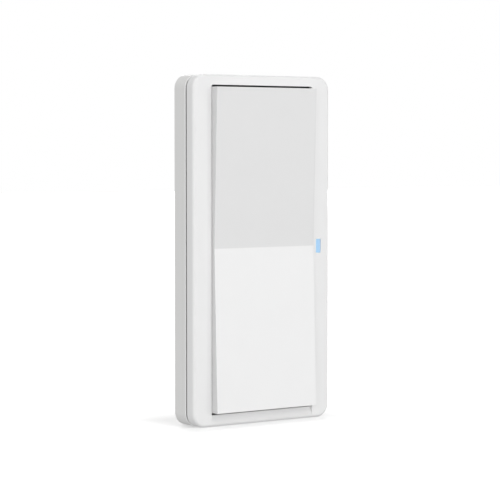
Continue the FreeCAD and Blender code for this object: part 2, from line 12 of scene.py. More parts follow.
import bpy
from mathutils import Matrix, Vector


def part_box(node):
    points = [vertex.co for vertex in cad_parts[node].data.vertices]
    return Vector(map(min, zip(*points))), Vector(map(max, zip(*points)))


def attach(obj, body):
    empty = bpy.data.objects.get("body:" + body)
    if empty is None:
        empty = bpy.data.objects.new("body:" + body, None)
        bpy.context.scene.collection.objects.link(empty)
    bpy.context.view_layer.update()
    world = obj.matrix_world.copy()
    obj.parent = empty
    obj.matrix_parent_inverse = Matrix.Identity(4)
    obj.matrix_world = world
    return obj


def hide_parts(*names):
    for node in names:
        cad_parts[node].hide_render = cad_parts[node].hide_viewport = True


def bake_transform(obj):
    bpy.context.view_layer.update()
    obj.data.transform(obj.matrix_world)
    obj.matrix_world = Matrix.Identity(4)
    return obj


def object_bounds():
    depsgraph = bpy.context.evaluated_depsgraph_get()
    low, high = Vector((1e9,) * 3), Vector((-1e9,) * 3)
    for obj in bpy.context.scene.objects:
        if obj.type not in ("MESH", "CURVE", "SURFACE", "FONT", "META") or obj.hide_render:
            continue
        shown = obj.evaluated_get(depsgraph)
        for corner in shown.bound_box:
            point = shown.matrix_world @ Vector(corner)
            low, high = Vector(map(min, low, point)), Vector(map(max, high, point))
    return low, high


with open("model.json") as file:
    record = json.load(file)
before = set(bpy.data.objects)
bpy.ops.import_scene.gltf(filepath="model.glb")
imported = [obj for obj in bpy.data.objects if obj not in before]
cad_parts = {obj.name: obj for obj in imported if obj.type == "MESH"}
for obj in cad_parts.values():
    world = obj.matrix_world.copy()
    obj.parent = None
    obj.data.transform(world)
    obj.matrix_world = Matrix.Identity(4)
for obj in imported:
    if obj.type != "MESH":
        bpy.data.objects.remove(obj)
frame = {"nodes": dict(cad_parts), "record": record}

MM = 0.001
cad_low, cad_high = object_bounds()
print("casing box in mm:", [round(v / MM, 2) for v in cad_high - cad_low])

# %% [markdown]
# ## The camera and the stage
# The casing stands on a pale floor, seen from its left and from a little above, through a long lens that
# keeps the upright edges nearly parallel. The camera aims just beside the middle of the face, so the
# casing sits right of centre.

# %% Camera
CAMERA_DISTANCE = 0.670
CAMERA_YAW = math.radians(36.0)
CAMERA_RISE = 0.0335
CAMERA_LENS = 145.8
AIM_SIDE = math.radians(0.364)
AIM_DROP = math.radians(0.01)

face_middle = Vector((0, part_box("front_bezel")[0].y, 0))
toward_face = Vector((math.sin(CAMERA_YAW), math.cos(CAMERA_YAW), 0))
camera_place = face_middle - toward_face * CAMERA_DISTANCE + Vector((0, 0, CAMERA_RISE))
pitch = math.atan2(CAMERA_RISE, CAMERA_DISTANCE) + AIM_DROP
bpy.ops.object.camera_add(location=camera_place, rotation=(math.pi / 2 - pitch, 0, -CAMERA_YAW + AIM_SIDE))
camera = bpy.context.object
camera.name = "studio_camera"
camera.data.lens = CAMERA_LENS
camera.data.clip_start = 0.01
camera.data.clip_end = 50.0
bpy.context.scene.camera = camera
print("camera stands", round(camera_place.length, 3), "m from the wall face's middle")

# %% [markdown]
# ## Small helpers
# Operators act on whatever is selected, and the loaded frame is selected all over, so each piece starts
# from an empty selection. A primitive's size goes into its mesh straight away, so that every finished
# object stays at the origin.

# %% Helpers for modelling
SHARP_ANGLE = 32.0        # degrees: an edge that turns by more is rounded, or shaded as an edge
ROUND_ANGLE = 50.0        # the shading angle for thin round pieces, which have few sides
NEAR = 0.1 * MM           # how far off a plane a point may be and still be picked with it
EXACT = 0.01 * MM         # the same where another edge lies close by
SQUARE_ON = 0.99          # the least share of a direction along an axis that counts as lying along it


def everything(element, mesh):
    """A test that picks all the faces or edges."""
    return True


def start_clean():
    """Leaves edit mode and deselects everything."""
    if bpy.context.object and bpy.context.object.mode != "OBJECT":
        bpy.ops.object.mode_set(mode="OBJECT")
    bpy.ops.object.select_all(action="DESELECT")


def settle(piece, name):
    """Names a piece and puts its place, turn and size into its mesh."""
    piece.name = name
    piece.data.name = name
    bpy.ops.object.transform_apply(location=True, rotation=True, scale=True)
    return piece


def block(name, low, high):
    """A box primitive between two corners."""
    start_clean()
    low, high = Vector(low), Vector(high)
    bpy.ops.mesh.primitive_cube_add(size=1, location=(low + high) / 2)
    bpy.context.object.scale = high - low
    return settle(bpy.context.object, name)


def round_bar(name, radius, centre, depth_low, depth_high, sides=32):
    """A cylinder primitive along Y between two depths, centred on (x, z)."""
    start_clean()
    bpy.ops.mesh.primitive_cylinder_add(
        vertices=sides, radius=radius, depth=abs(depth_high - depth_low),
        location=(centre[0], (depth_low + depth_high) / 2, centre[1]), rotation=(math.pi / 2, 0, 0))
    return settle(bpy.context.object, name)


def pick(piece, kind, test):
    """Selects, in edit mode, the faces or edges for which test(element, mesh) is true, and counts them."""
    bpy.context.view_layer.objects.active = piece
    piece.select_set(True)
    bpy.ops.object.mode_set(mode="EDIT")
    bpy.ops.mesh.select_mode(type={"faces": "FACE", "edges": "EDGE"}[kind])
    bpy.ops.mesh.select_all(action="DESELECT")
    bpy.ops.object.mode_set(mode="OBJECT")
    elements = {"faces": piece.data.polygons, "edges": piece.data.edges}[kind]
    chosen = [e.index for e in elements if test(e, piece.data)]
    for index in chosen:
        elements[index].select = True
    bpy.ops.object.mode_set(mode="EDIT")
    return len(chosen)


def finish_edit():
    """Back to object mode with the normals pointing outwards."""
    bpy.ops.mesh.select_all(action="SELECT")
    bpy.ops.mesh.normals_make_consistent(inside=False)
    bpy.ops.object.mode_set(mode="OBJECT")


def ends(edge, mesh):
    """The two ends of an edge."""
    return [mesh.vertices[i].co for i in edge.vertices]


def hold(piece):
    """Makes one piece the only one selected, and active."""
    start_clean()
    piece.select_set(True)
    bpy.context.view_layer.objects.active = piece


def combine(piece, tool, operation):
    """Applies a boolean between the piece and a tool, and removes the tool."""
    hold(piece)
    boolean = piece.modifiers.new("boolean", "BOOLEAN")
    boolean.operation = operation
    boolean.solver = "EXACT"
    boolean.object = tool
    bpy.ops.object.modifier_apply(modifier=boolean.name)
    bpy.data.objects.remove(tool)


def soften(piece, width):
    """Rounds the sharp edges, as a mould does, and shades the result smoothly."""
    hold(piece)
    rounding = piece.modifiers.new("rounding", "BEVEL")
    rounding.width = width
    rounding.segments = 2
    rounding.limit_method = "ANGLE"
    rounding.angle_limit = math.radians(SHARP_ANGLE)
    rounding.use_clamp_overlap = True
    bpy.ops.object.modifier_apply(modifier=rounding.name)
    return shade(piece)


def shade(piece, angle=SHARP_ANGLE, crease=None):
    """Shades the roundings smoothly and the flats flat. crease(edge, mesh) names edges that stay sharp."""
    hold(piece)
    bpy.ops.object.shade_smooth_by_angle(angle=math.radians(angle))
    if crease:
        pick(piece, "edges", crease)
        bpy.ops.mesh.mark_sharp()
        bpy.ops.object.mode_set(mode="OBJECT")
    flats = piece.modifiers.new("flats", "WEIGHTED_NORMAL")
    flats.keep_sharp = True
    bpy.ops.object.modifier_apply(modifier=flats.name)
    return piece


# %% [markdown]
# ## The rocker cap
# The real cap is one moulding: a tall plate with a shallow V in front, folded over into skirts that hide
# the works. It could be two tilted planes, but a box that is cut once at the crease and then pulled in
# along that line keeps the skirts and the plate in one skin. The back is inset by the wall's thickness
# and pushed in to leave the hollow, whose floor follows the same V. A rocker has some play along its
# axle, and this one rests a little to the left.

# %% Rocker cap
CAP_WALL = 1.2 * MM
CREASE_DEPTH = 12.5 * MM
CREASE_Z = 0.9 * MM
CAP_EDGE = 0.12 * MM
CAP_PLAY = 0.2 * MM
CREASE_CLEAR = 2 * MM      # an edge that stays within this of mid-height is the crease itself
CORNER_LENGTH = 2.5 * MM   # an edge that runs back by more is a corner of the skirt


def make_rocker_cap():
    """The cap: a box with a V-shaped front, a hollow behind it, and rounded outer edges."""
    low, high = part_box("rocker_cap")
    cap = block("rocker_cap_moulding", low, high)
    slope = (-low.y - CREASE_DEPTH) / max(high.z - CREASE_Z, CREASE_Z - low.z)
    pick(cap, "faces", everything)
    bpy.ops.mesh.bisect(plane_co=(0, 0, CREASE_Z), plane_no=(0, 0, 1))
    bpy.ops.object.mode_set(mode="OBJECT")
    for vertex in cap.data.vertices:
        if vertex.co.y < low.y + MM:
            vertex.co.y = -CREASE_DEPTH - slope * abs(vertex.co.z - CREASE_Z)
    pick(cap, "faces", lambda f, m: f.normal.y > SQUARE_ON)
    bpy.ops.mesh.dissolve_faces()
    bpy.ops.mesh.inset(thickness=CAP_WALL, depth=0)
    hollow_depth = high.y + CREASE_DEPTH - CAP_WALL
    bpy.ops.mesh.extrude_region_move(TRANSFORM_OT_translate={"value": (0, -hollow_depth, 0)})
    inner_crease = -CREASE_DEPTH + CAP_WALL
    pick(cap, "faces", lambda f, m: f.normal.y > SQUARE_ON and abs(f.center.y - inner_crease) < NEAR)
    bpy.ops.mesh.bisect(plane_co=(0, 0, CREASE_Z), plane_no=(0, 0, 1))
    bpy.ops.object.mode_set(mode="OBJECT")
    for vertex in cap.data.vertices:
        if abs(vertex.co.y - inner_crease) < EXACT:
            vertex.co.y -= slope * abs(vertex.co.z - CREASE_Z)
    count = pick(cap, "edges", lambda e, m: is_cap_edge(ends(e, m), low, high))
    bpy.ops.mesh.bevel(offset=CAP_EDGE, segments=4, profile=0.5, affect="EDGES")
    finish_edit()
    cap.location.x = -CAP_PLAY
    settle(cap, cap.name)
    print("cap edges rounded:", count)
    return shade(cap, crease=lambda e, m: all(abs(p.z - CREASE_Z) < NEAR for p in ends(e, m)))


def is_cap_edge(points, low, high):
    """True for the front rim and the four upright corners of the cap's outside."""
    a, b = points
    on_side = all(abs(abs(p.x) - high.x) < EXACT for p in points)
    on_end = all(min(abs(p.z - low.z), abs(p.z - high.z)) < EXACT for p in points)
    front = all(p.y < -CREASE_DEPTH + NEAR for p in points) and max(abs(a.z), abs(b.z)) > CREASE_CLEAR
    runs_back = abs(a.y - b.y) > CORNER_LENGTH and on_side and on_end
    return runs_back or (front and (on_side or on_end))


rocker_cap = make_rocker_cap()
made = [(rocker_cap, "rocker_cap")]

# %% [markdown]
# ## The bezel
# The real bezel is a thin moulded frame: a rounded outline, a generous front radius, a tall opening and a
# finger scoop that slopes into the bottom rail. A box gives the outline once its four upright edges are
# bevelled, and the same tool then rounds the front rim. The openings are cut with simple cutters, which
# is how a mould's cores work, and a last fine bevel breaks the edges that the cores leave.

# %% Bezel
CORNER_R = 4.5 * MM
FRONT_R = 1.0 * MM
SHELL_WALL = 1.6 * MM
STILE = 7.15 * MM
TOP_RAIL = 3.3 * MM
BOTTOM_RAIL = 3.7 * MM     # under the engineering model's 3.85, so that the gap below the rocker reads dark
SCOOP_DEPTH = 1.3 * MM
OPENING_R = 0.6 * MM
RAIL_T = 2.75 * MM         # how deep the bottom rail is, from the front face back
WINDOW_R = 0.3 * MM
FINE_EDGE = 0.1 * MM
SPARE = 2 * MM             # how far a cutter reaches past the face that it cuts through


def rounded_block(name, low, high, radius, segments=12):
    """A box whose four edges along the depth are rounded."""
    piece = block(name, low, high)
    pick(piece, "edges", lambda e, m: abs((ends(e, m)[0] - ends(e, m)[1]).normalized().y) > SQUARE_ON)
    bpy.ops.mesh.bevel(offset=radius, segments=segments, profile=0.5, affect="EDGES")
    finish_edit()
    return piece


def round_rim(piece, depth, radius, segments):
    """Rounds the rim that lies at one depth."""
    pick(piece, "edges", lambda e, m: all(abs(p.y - depth) < EXACT for p in ends(e, m)))
    bpy.ops.mesh.bevel(offset=radius, segments=segments, profile=0.5, affect="EDGES")
    finish_edit()


def make_bezel():
    """The frame: a hollowed block with a thick bottom rail, an opening, a scoop and a window pocket."""
    low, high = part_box("front_bezel")
    bezel = rounded_block("bezel_moulding", low, high, CORNER_R)
    round_rim(bezel, low.y, FRONT_R, 8)
    wall = Vector((SHELL_WALL, 0, SHELL_WALL))
    face_back = low.y + SHELL_WALL
    core_low = Vector((low.x, face_back, low.z)) + wall
    core_high = Vector((high.x, high.y + SPARE, high.z)) - wall
    combine(bezel, rounded_block("core", core_low, core_high, CORNER_R - SHELL_WALL), "DIFFERENCE")
    opening_low = Vector((low.x + STILE, low.y - SPARE, low.z + BOTTOM_RAIL))
    opening_high = Vector((high.x - STILE, high.y + SPARE, high.z - TOP_RAIL))
    bar_low = (opening_low.x, face_back - SHELL_WALL / 2, low.z + SHELL_WALL / 2)
    bar_high = (opening_high.x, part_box("front_bezel")[0].y + RAIL_T, opening_low.z)
    combine(bezel, block("bar", bar_low, bar_high), "UNION")
    combine(bezel, rounded_block("opening", opening_low, opening_high, OPENING_R, 4), "DIFFERENCE")
    combine(bezel, scoop_cutter(low, opening_low, opening_high), "DIFFERENCE")
    window_low, window_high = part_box("indicator_window")
    pocket_low = (window_low.x, low.y - SPARE, window_low.z)
    pocket_high = (window_high.x, high.y, window_high.z)
    combine(bezel, rounded_block("pocket", pocket_low, pocket_high, WINDOW_R, 4), "DIFFERENCE")
    return soften(bezel, FINE_EDGE)


def scoop_cutter(low, opening_low, opening_high):
    """A wedge that is deepest at the opening and runs out at the bottom rim."""
    cutter = block("scoop", (opening_low.x, low.y - SPARE, low.z + FRONT_R),
                   (opening_high.x, low.y, opening_low.z + SPARE))
    rail_slope = SCOOP_DEPTH / (opening_low.z - low.z - FRONT_R)
    for vertex in cutter.data.vertices:
        if vertex.co.y > low.y - NEAR:
            vertex.co.y = low.y + rail_slope * (vertex.co.z - low.z - FRONT_R)
    return cutter


bezel = make_bezel()
made.append((bezel, "front_bezel"))
print("bezel faces:", len(bezel.data.polygons))

# %% [markdown]
# ## The wall base
# The base is a shallow tray with a thin lip round its rim. The lip's outer edge is bevelled, and the rim
# drops away behind it, so the joint with the bezel reads as one bright line and one dark line. It could
# be lofted, but nested rounded boxes cut one out of another give the same walls and are easier to change.

# %% Wall base
BASE_WALL = 1.8 * MM
BASE_FLOOR = 1.6 * MM
LIP_T = 0.4 * MM
LIP_H = 1.2 * MM
RIM_BEVEL = 0.33 * MM
RIM_RISE = 0.3 * MM        # how far the lip stands into the shadow gap
SCREW_SPACING = 83.3 * MM
WALL_SCREW_R = 2.0 * MM
SINK_R = 3.6 * MM
SINK_START = 0.2 * MM      # the countersink starts this far in from the back
MAGNET_R = 3.2 * MM
PAD_H = 16.0 * MM


def tray_cutter(name, box, inward, depth):
    """A rounded box that stands in from the casing's sides and reaches back to a depth."""
    low, high = box
    return rounded_block(name, (low.x + inward, low.y - SPARE, low.z + inward),
                         (high.x - inward, -depth, high.z - inward), CORNER_R - inward)


def sink_cutter(centre_z):
    """A cone that widens a wall screw's hole towards the front, so that a flat screw head sits flush."""
    start_clean()
    bpy.ops.mesh.primitive_cone_add(
        vertices=48, radius1=SINK_R, radius2=WALL_SCREW_R, depth=BASE_FLOOR,
        location=(0, -BASE_FLOOR / 2 - SINK_START, centre_z), rotation=(-math.pi / 2, 0, 0))
    return settle(bpy.context.object, "sink")


def make_base():
    """The tray: a block hollowed and stepped at its lip, with recesses, screw holes and magnet pockets."""
    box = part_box("wall_base")
    low, high = box
    low.y -= RIM_RISE
    base = rounded_block("base_moulding", low, high, CORNER_R)
    round_rim(base, low.y, RIM_BEVEL, 2)
    combine(base, tray_cutter("tray", box, BASE_WALL, BASE_FLOOR), "DIFFERENCE")
    combine(base, tray_cutter("step", box, LIP_T, -low.y - LIP_H), "DIFFERENCE")
    pad_low, pad_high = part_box("adhesive_pads")
    for side in (-1, 1):
        edge = side * pad_high.z
        near, far = sorted((edge, edge - side * PAD_H))
        recess = block("pad_recess", (pad_low.x, pad_low.y, near), (pad_high.x, SPARE, far))
        combine(base, recess, "DIFFERENCE")
        screw_z = side * SCREW_SPACING / 2
        hole = round_bar("hole", WALL_SCREW_R, (0, screw_z), -high.y - SPARE, SPARE * 2, 48)
        combine(base, hole, "DIFFERENCE")
        combine(base, sink_cutter(screw_z), "DIFFERENCE")
    magnet_low, magnet_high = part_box("base_magnets")
    for x in (magnet_low.x + MAGNET_R, magnet_high.x - MAGNET_R):
        for z in (magnet_low.z + MAGNET_R, magnet_high.z - MAGNET_R):
            pocket = round_bar("pocket", MAGNET_R, (x, z), magnet_high.y, low.y, 48)
            combine(base, pocket, "DIFFERENCE")
    return soften(base, FINE_EDGE)


base = make_base()
made.append((base, "wall_base"))
print("base faces:", len(base.data.polygons))

# %% [markdown]
# ## Magnets and foam pads
# Four plated disc magnets sit flush in the tray's floor, and two foam pads fill the recesses in its back.
# Each is a plain form with a broken edge. One magnet is modelled and then copied, each copy with a mesh
# of its own.

# %% Magnets
MAGNET_EDGE = 0.15 * MM


def copy_to(piece, name, shift):
    """A copy of a finished piece with its own mesh, moved by a vector."""
    twin = bpy.data.objects.new(name, piece.data.copy())
    bpy.context.scene.collection.objects.link(twin)
    hold(twin)
    twin.location = shift
    return settle(twin, name)


magnet_low, magnet_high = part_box("base_magnets")
right, top = magnet_high.x - MAGNET_R, magnet_high.z - MAGNET_R
magnet = round_bar("magnet_1", MAGNET_R, (right, top), magnet_low.y, magnet_high.y, 48)
soften(magnet, MAGNET_EDGE)
made.append((magnet, "base_magnets"))
for number, shift in ((2, (-2 * right, 0, 0)), (3, (0, 0, -2 * top)), (4, (-2 * right, 0, -2 * top))):
    made.append((copy_to(magnet, f"magnet_{number}", shift), "base_magnets"))

# %% Foam pads
PAD_EDGE = 0.12 * MM
pad_low, pad_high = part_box("adhesive_pads")
upper_pad = block("foam_pad_upper", (pad_low.x, pad_low.y, pad_high.z - PAD_H), pad_high)
soften(upper_pad, PAD_EDGE)
made.append((upper_pad, "adhesive_pads"))
made.append((copy_to(upper_pad, "foam_pad_lower", (0, 0, pad_low.z - pad_high.z + PAD_H)), "adhesive_pads"))

# %% [markdown]
# ## The status window
# The window is a small tinted block whose face stands a little below the bezel's. Light comes to it
# through a clear block from a lamp on the circuit board. Both are boxes whose corners along the depth are
# rounded to fit their pocket.

# %% Window and light pipe
WINDOW_EDGE = 0.08 * MM
PIPE_EDGE = 0.05 * MM


def make_lens(name, node, edge):
    """A rounded block for a clear piece, with a broken front rim."""
    low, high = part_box(node)
    lens = rounded_block(name, low, high, WINDOW_R, 4)
    round_rim(lens, low.y, edge, 2)
    return shade(lens)


made.append((make_lens("window_lens", "indicator_window", WINDOW_EDGE), "indicator_window"))
made.append((make_lens("light_pipe_block", "light_pipe", PIPE_EDGE), "light_pipe"))

# %% [markdown]
# ## The return springs
# Each push pin stands on a coil spring. A coil could be a curve with a round section, but a small circle
# swept by the Screw modifier shows how a coil is made: it turns about the axis while it climbs. The ends
# are then capped.

# %% Springs
SPRING_WIRE_R = 0.11 * MM
SPRING_TURNS = 3
WIRE_SIDES = 12


def make_spring(name, node):
    """A coil of round wire as long as the node, with its ends capped."""
    low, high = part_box(node)
    mean_r = (high.x - low.x) / 2 - SPRING_WIRE_R
    start_clean()
    bpy.ops.mesh.primitive_circle_add(vertices=WIRE_SIDES, radius=SPRING_WIRE_R,
                                      location=(mean_r, high.y - SPRING_WIRE_R, 0))
    spring = settle(bpy.context.object, name)
    coil = spring.modifiers.new("coil", "SCREW")
    coil.axis = "Y"
    coil.angle = 2 * math.pi
    coil.iterations = SPRING_TURNS
    coil.screw_offset = -(high.y - low.y - 2 * SPRING_WIRE_R) / SPRING_TURNS
    coil.steps = coil.render_steps = 40
    bpy.ops.object.modifier_apply(modifier=coil.name)
    pick(spring, "faces", everything)
    bpy.ops.mesh.fill_holes(sides=WIRE_SIDES)
    finish_edit()
    spring.location = (0, 0, (low.z + high.z) / 2)
    return shade(settle(spring, name), ROUND_ANGLE)


springs = {}
for side in ("upper", "lower"):
    springs[side] = make_spring(f"{side}_coil_spring", f"{side}_return_spring")
    print(side, "spring faces:", len(springs[side].data.polygons))

# %% [markdown]
# ## The coin cell
# A coin cell is two pressed steel cups with a nylon gasket between them. Two stepped discs give the cups,
# and a thin torus stands for the gasket's visible rim.

# %% Coin cell
CUP_STEP = 0.4 * MM        # how far the small cup stands out of the large one
CUP_R = 8.9 * MM
CUP_OVERLAP = 0.5 * MM
CAN_RIM_R = 0.45 * MM
CELL_EDGE = 0.12 * MM
GASKET_R = 9.15 * MM
GASKET_T = 0.2 * MM


def make_cell():
    """The two cups as one piece, and the gasket's rim between them."""
    low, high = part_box("coin_cell")
    radius, centre_z = (high.x - low.x) / 2, (low.z + high.z) / 2
    step = low.y + CUP_STEP
    can = round_bar("coin_cell_cups", radius, (0, centre_z), step, high.y, 96)
    round_rim(can, high.y, CAN_RIM_R, 4)
    combine(can, round_bar("cup", CUP_R, (0, centre_z), low.y, step + CUP_OVERLAP, 96), "UNION")
    soften(can, CELL_EDGE)
    start_clean()
    bpy.ops.mesh.primitive_torus_add(
        major_radius=GASKET_R, minor_radius=GASKET_T, major_segments=96, minor_segments=10,
        location=(0, step, centre_z), rotation=(math.pi / 2, 0, 0))
    return can, shade(settle(bpy.context.object, "coin_cell_gasket"), ROUND_ANGLE)


cell, gasket = make_cell()
made.append((cell, "coin_cell"))

# %% [markdown]
# ## Pieces whose shape is already right
# The engineering model's own shapes are exact for the rear cover, the frame, the circuit board and the
# small parts on it, but its edges are knife sharp. A real edge always catches a thin line of light. So
# each is copied, its loose triangles are merged into whole faces, and its edges are rounded by as much as
# a mould, a press or a saw would leave.

# %% Soften the remaining pieces
EDGE_MM = {
    "rear_cover": 0.15, "battery_door": 0.15, "case_screws": 0.1, "strike_plates": 0.12, "battery_clip": 0.05,
    "battery_contact": 0.04, "main_board": 0.08, "radio_shield": 0.1, "radio_chip": 0.06, "crystal": 0.12,
    "chip_antenna": 0.05, "capacitors": 0.06, "resistors": 0.05, "voltage_regulator": 0.06,
    "supply_capacitor": 0.08, "status_led": 0.1, "pivot_frame": 0.15, "frame_screws": 0.1,
    "rocker_carrier": 0.15, "pivot_axle": 0.12, "pair_button": 0.15, "pair_plunger": 0.1, "pair_switch": 0.12,
    "rocker_bumpers": 0.12, "upper_push_pin": 0.1, "upper_contact_pill": 0.08, "lower_push_pin": 0.1,
    "lower_contact_pill": 0.08,
}
SAME_POINT = 0.002 * MM
SAME_PLANE = math.radians(1.0)


def softened_copy(node, width):
    """A copy of a node's mesh with whole faces and rounded edges."""
    start_clean()
    piece = bpy.data.objects.new(node + "_softened", frame["nodes"][node].data.copy())
    bpy.context.scene.collection.objects.link(piece)
    pick(piece, "faces", everything)
    bpy.ops.mesh.remove_doubles(threshold=SAME_POINT)
    bpy.ops.mesh.dissolve_limited(angle_limit=SAME_PLANE)
    finish_edit()
    return soften(piece, width)


for node, edge_mm in EDGE_MM.items():
    made.append((softened_copy(node, edge_mm * MM), node))
print("softened copies:", len(EDGE_MM))

# %% [markdown]
# ## Finishes
# Each material is named for the real one and for how its surface was made. Colours are sRGB hex values,
# every pattern has a real size, and all patterns read Object coordinates, which equal the frame's own
# because each finished piece sits at the origin.

# %% Helpers for materials
def linear(hex_colour):
    """An sRGB hex colour as linear red, green, blue and alpha."""
    def channel(text):
        value = int(text, 16) / 255
        return value / 12.92 if value <= 0.04045 else ((value + 0.055) / 1.055) ** 2.4
    digits = hex_colour.lstrip("#")
    return tuple(channel(digits[i:i + 2]) for i in (0, 2, 4)) + (1.0,)


def add(tree, kind, inputs=None, **settings):
    """Adds a node, sets its properties, and fills its inputs with values or links from (node, output)."""
    node = tree.nodes.new(kind)
    for key, value in settings.items():
        setattr(node, key, value)
    for key, value in (inputs or {}).items():
        if isinstance(value, tuple) and hasattr(value[0], "outputs"):
            tree.links.new(value[0].outputs[value[1]], node.inputs[key])
        else:
            node.inputs[key].default_value = value
    return node


def blank(name):
    """A new material with an empty tree, and the Object coordinates that its patterns read."""
    material = bpy.data.materials.new(name)
    material.use_nodes = True
    tree = material.node_tree
    tree.nodes.clear()
    return material, tree, add(tree, "ShaderNodeTexCoord")


# The colour sockets of a Mix node share their names with its number sockets, so they are reached by place.
MIX_FACTOR, MIX_A, MIX_B, MIX_RESULT = 0, 6, 7, 2


# %% [markdown]
# ## Moulded plastics
# Satin ABS is bright and nearly smooth. Its mould was spark eroded, which leaves a grain finer than the
# eye resolves, so the grain is drawn a little coarser, and very shallow. The melt also leaves a slow
# drift of tone.

# %% Moulded plastic
DRIFT = 14 * MM            # the length over which the tone drifts
GRAIN_DEPTH = 0.02 * MM
CREASE_BLUR = 0.05 * MM


def moulded_plastic(name, light, dark, roughness, grain_mm=0.35, bump=0.05, ior=1.54,
                    painted_upper_shade=None, painted_side_shade=None, painted_edge_highlight=None):
    """Moulded plastic with a drift of tone and a fine grain. Three optional colours paint light and shade:
    the first multiplies the colour above the crease as painted shade, the second covers walls that face
    sideways as painted shade, and the third covers edges that slope back as a painted highlight."""
    material, tree, place = blank(name)
    drift = add(tree, "ShaderNodeTexNoise", {"Vector": (place, "Object"), "Scale": 1 / DRIFT, "Detail": 2.0})
    tone = add(tree, "ShaderNodeMix", {MIX_FACTOR: (drift, "Fac"), MIX_A: linear(light), MIX_B: linear(dark)},
               data_type="RGBA")
    if painted_upper_shade:
        # Above the crease the colour is multiplied by a darker one: painted shade.
        height = add(tree, "ShaderNodeSeparateXYZ", {"Vector": (place, "Object")})
        above = add(tree, "ShaderNodeMapRange", {
            "Value": (height, "Z"), "From Min": CREASE_Z - CREASE_BLUR, "From Max": CREASE_Z + CREASE_BLUR})
        tone = add(tree, "ShaderNodeMix", {
            MIX_FACTOR: (above, 0), MIX_A: (tone, MIX_RESULT), MIX_B: linear(painted_upper_shade)},
            data_type="RGBA", blend_type="MULTIPLY")
    if painted_side_shade:
        # Walls that face sideways take a darker colour: painted shade.
        facing = add(tree, "ShaderNodeSeparateXYZ", {"Vector": (place, "Normal")})
        sideways = add(tree, "ShaderNodeMath", {0: (facing, "X")}, operation="ABSOLUTE")
        wall = add(tree, "ShaderNodeMapRange", {"Value": (sideways, 0), "From Min": 0.5, "From Max": 0.9})
        tone = add(tree, "ShaderNodeMix", {
            MIX_FACTOR: (wall, 0), MIX_A: (tone, MIX_RESULT), MIX_B: linear(painted_side_shade)}, data_type="RGBA")
    if painted_edge_highlight:
        # An edge counts as sloping where its normal's depth lies within 0.35 of -0.55, and there the colour
        # is a painted highlight.
        slope = add(tree, "ShaderNodeSeparateXYZ", {"Vector": (place, "Normal")})
        painted_highlight_mask = add(tree, "ShaderNodeMath", {0: (slope, "Y"), 1: -0.55, 2: 0.35}, operation="COMPARE")
        tone = add(tree, "ShaderNodeMix", {
            MIX_FACTOR: (painted_highlight_mask, 0), MIX_A: (tone, MIX_RESULT), MIX_B: linear(painted_edge_highlight)},
            data_type="RGBA")
    grain = add(tree, "ShaderNodeTexNoise", {
        "Vector": (place, "Object"), "Scale": 1 / (grain_mm * MM), "Detail": 3.0})
    rough = add(tree, "ShaderNodeMapRange", {
        "Value": (grain, "Fac"), "To Min": roughness - 0.05, "To Max": roughness + 0.05})
    relief = add(tree, "ShaderNodeBump", {
        "Height": (grain, "Fac"), "Strength": bump, "Distance": GRAIN_DEPTH})
    shader = add(tree, "ShaderNodeBsdfPrincipled", {
        "Base Color": (tone, MIX_RESULT), "Roughness": (rough, 0), "Normal": (relief, 0), "IOR": ior})
    add(tree, "ShaderNodeOutputMaterial", {"Surface": (shader, 0)})
    return material


# White ABS, injection moulded: a satin, even white.
white_abs = moulded_plastic("moulded_white_abs", "#F4F4F4", "#F0F0F0", 0.42)
# The cap is the same ABS, set a step lighter than the bezel's white as painted light on its lower half. The
# half above the crease leans towards the floor and is painted a step greyer as shade, and its side walls
# are painted darker as shade.
cap_abs_painted_shading = moulded_plastic("moulded_cap_abs", "#F8F8F8", "#F5F5F5", 0.42,
                          painted_upper_shade="#F1F1F1", painted_side_shade="#DBDBDB")
# The base is a plainer grade of ABS, a touch greyer and rougher. Its bevelled front edge is painted white,
# a painted highlight for the joint's bright line.
base_abs_painted_highlight = moulded_plastic("moulded_base_abs", "#EDEDEC", "#E8E8E7", 0.48, painted_edge_highlight="#FFFFFF")
# The rear cover and its door are dark grey ABS, a grey put there as painted shade, which keeps the shadow
# line dark.
cover_abs = moulded_plastic("moulded_grey_abs", "#4A4B4D", "#424345", 0.5)
# The pivot frame and the carrier are black polyamide with short glass fibres, which dull the skin.
filled_polyamide = moulded_plastic("glass_filled_polyamide", "#1B1B1C", "#232324", 0.55,
                                   grain_mm=0.2, bump=0.12)
# The pairing button is a grey polycarbonate with a finer grain.
button_polycarbonate = moulded_plastic("moulded_button_polycarbonate", "#46474A", "#3E3F42", 0.38, ior=1.58)
# The push pins are acetal: milky, smooth and slippery.
natural_acetal = moulded_plastic("moulded_acetal", "#DEDCD2", "#D6D4CA", 0.3, bump=0.02, ior=1.48)
# Chips are packed in black epoxy with a glassy filler, which gives a dull and slightly grainy skin.
moulded_epoxy = moulded_plastic("moulded_epoxy", "#1C1C1D", "#252526", 0.6, grain_mm=0.12, bump=0.15, ior=1.5)

# %% [markdown]
# ## Rubber and foam
# Both are full of small cells. Voronoi cells give them: shallow and fine on rubber, deeper and rounder on
# foam.

# %% Rubber and foam
def cellular(name, light, dark, roughness, cell_mm, depth_mm, ior=1.5):
    """Rubber or foam: a colour that varies from cell to cell, and a dimple in each."""
    material, tree, place = blank(name)
    cells = add(tree, "ShaderNodeTexVoronoi", {"Vector": (place, "Object"), "Scale": 1 / (cell_mm * MM)})
    tone = add(tree, "ShaderNodeMix", {MIX_FACTOR: (cells, "Distance"), MIX_A: linear(dark),
                                       MIX_B: linear(light)}, data_type="RGBA")
    relief = add(tree, "ShaderNodeBump", {
        "Height": (cells, "Distance"), "Strength": 0.6, "Distance": depth_mm * MM})
    shader = add(tree, "ShaderNodeBsdfPrincipled", {
        "Base Color": (tone, MIX_RESULT), "Roughness": roughness, "Normal": (relief, 0), "IOR": ior})
    add(tree, "ShaderNodeOutputMaterial", {"Surface": (shader, 0)})
    return material


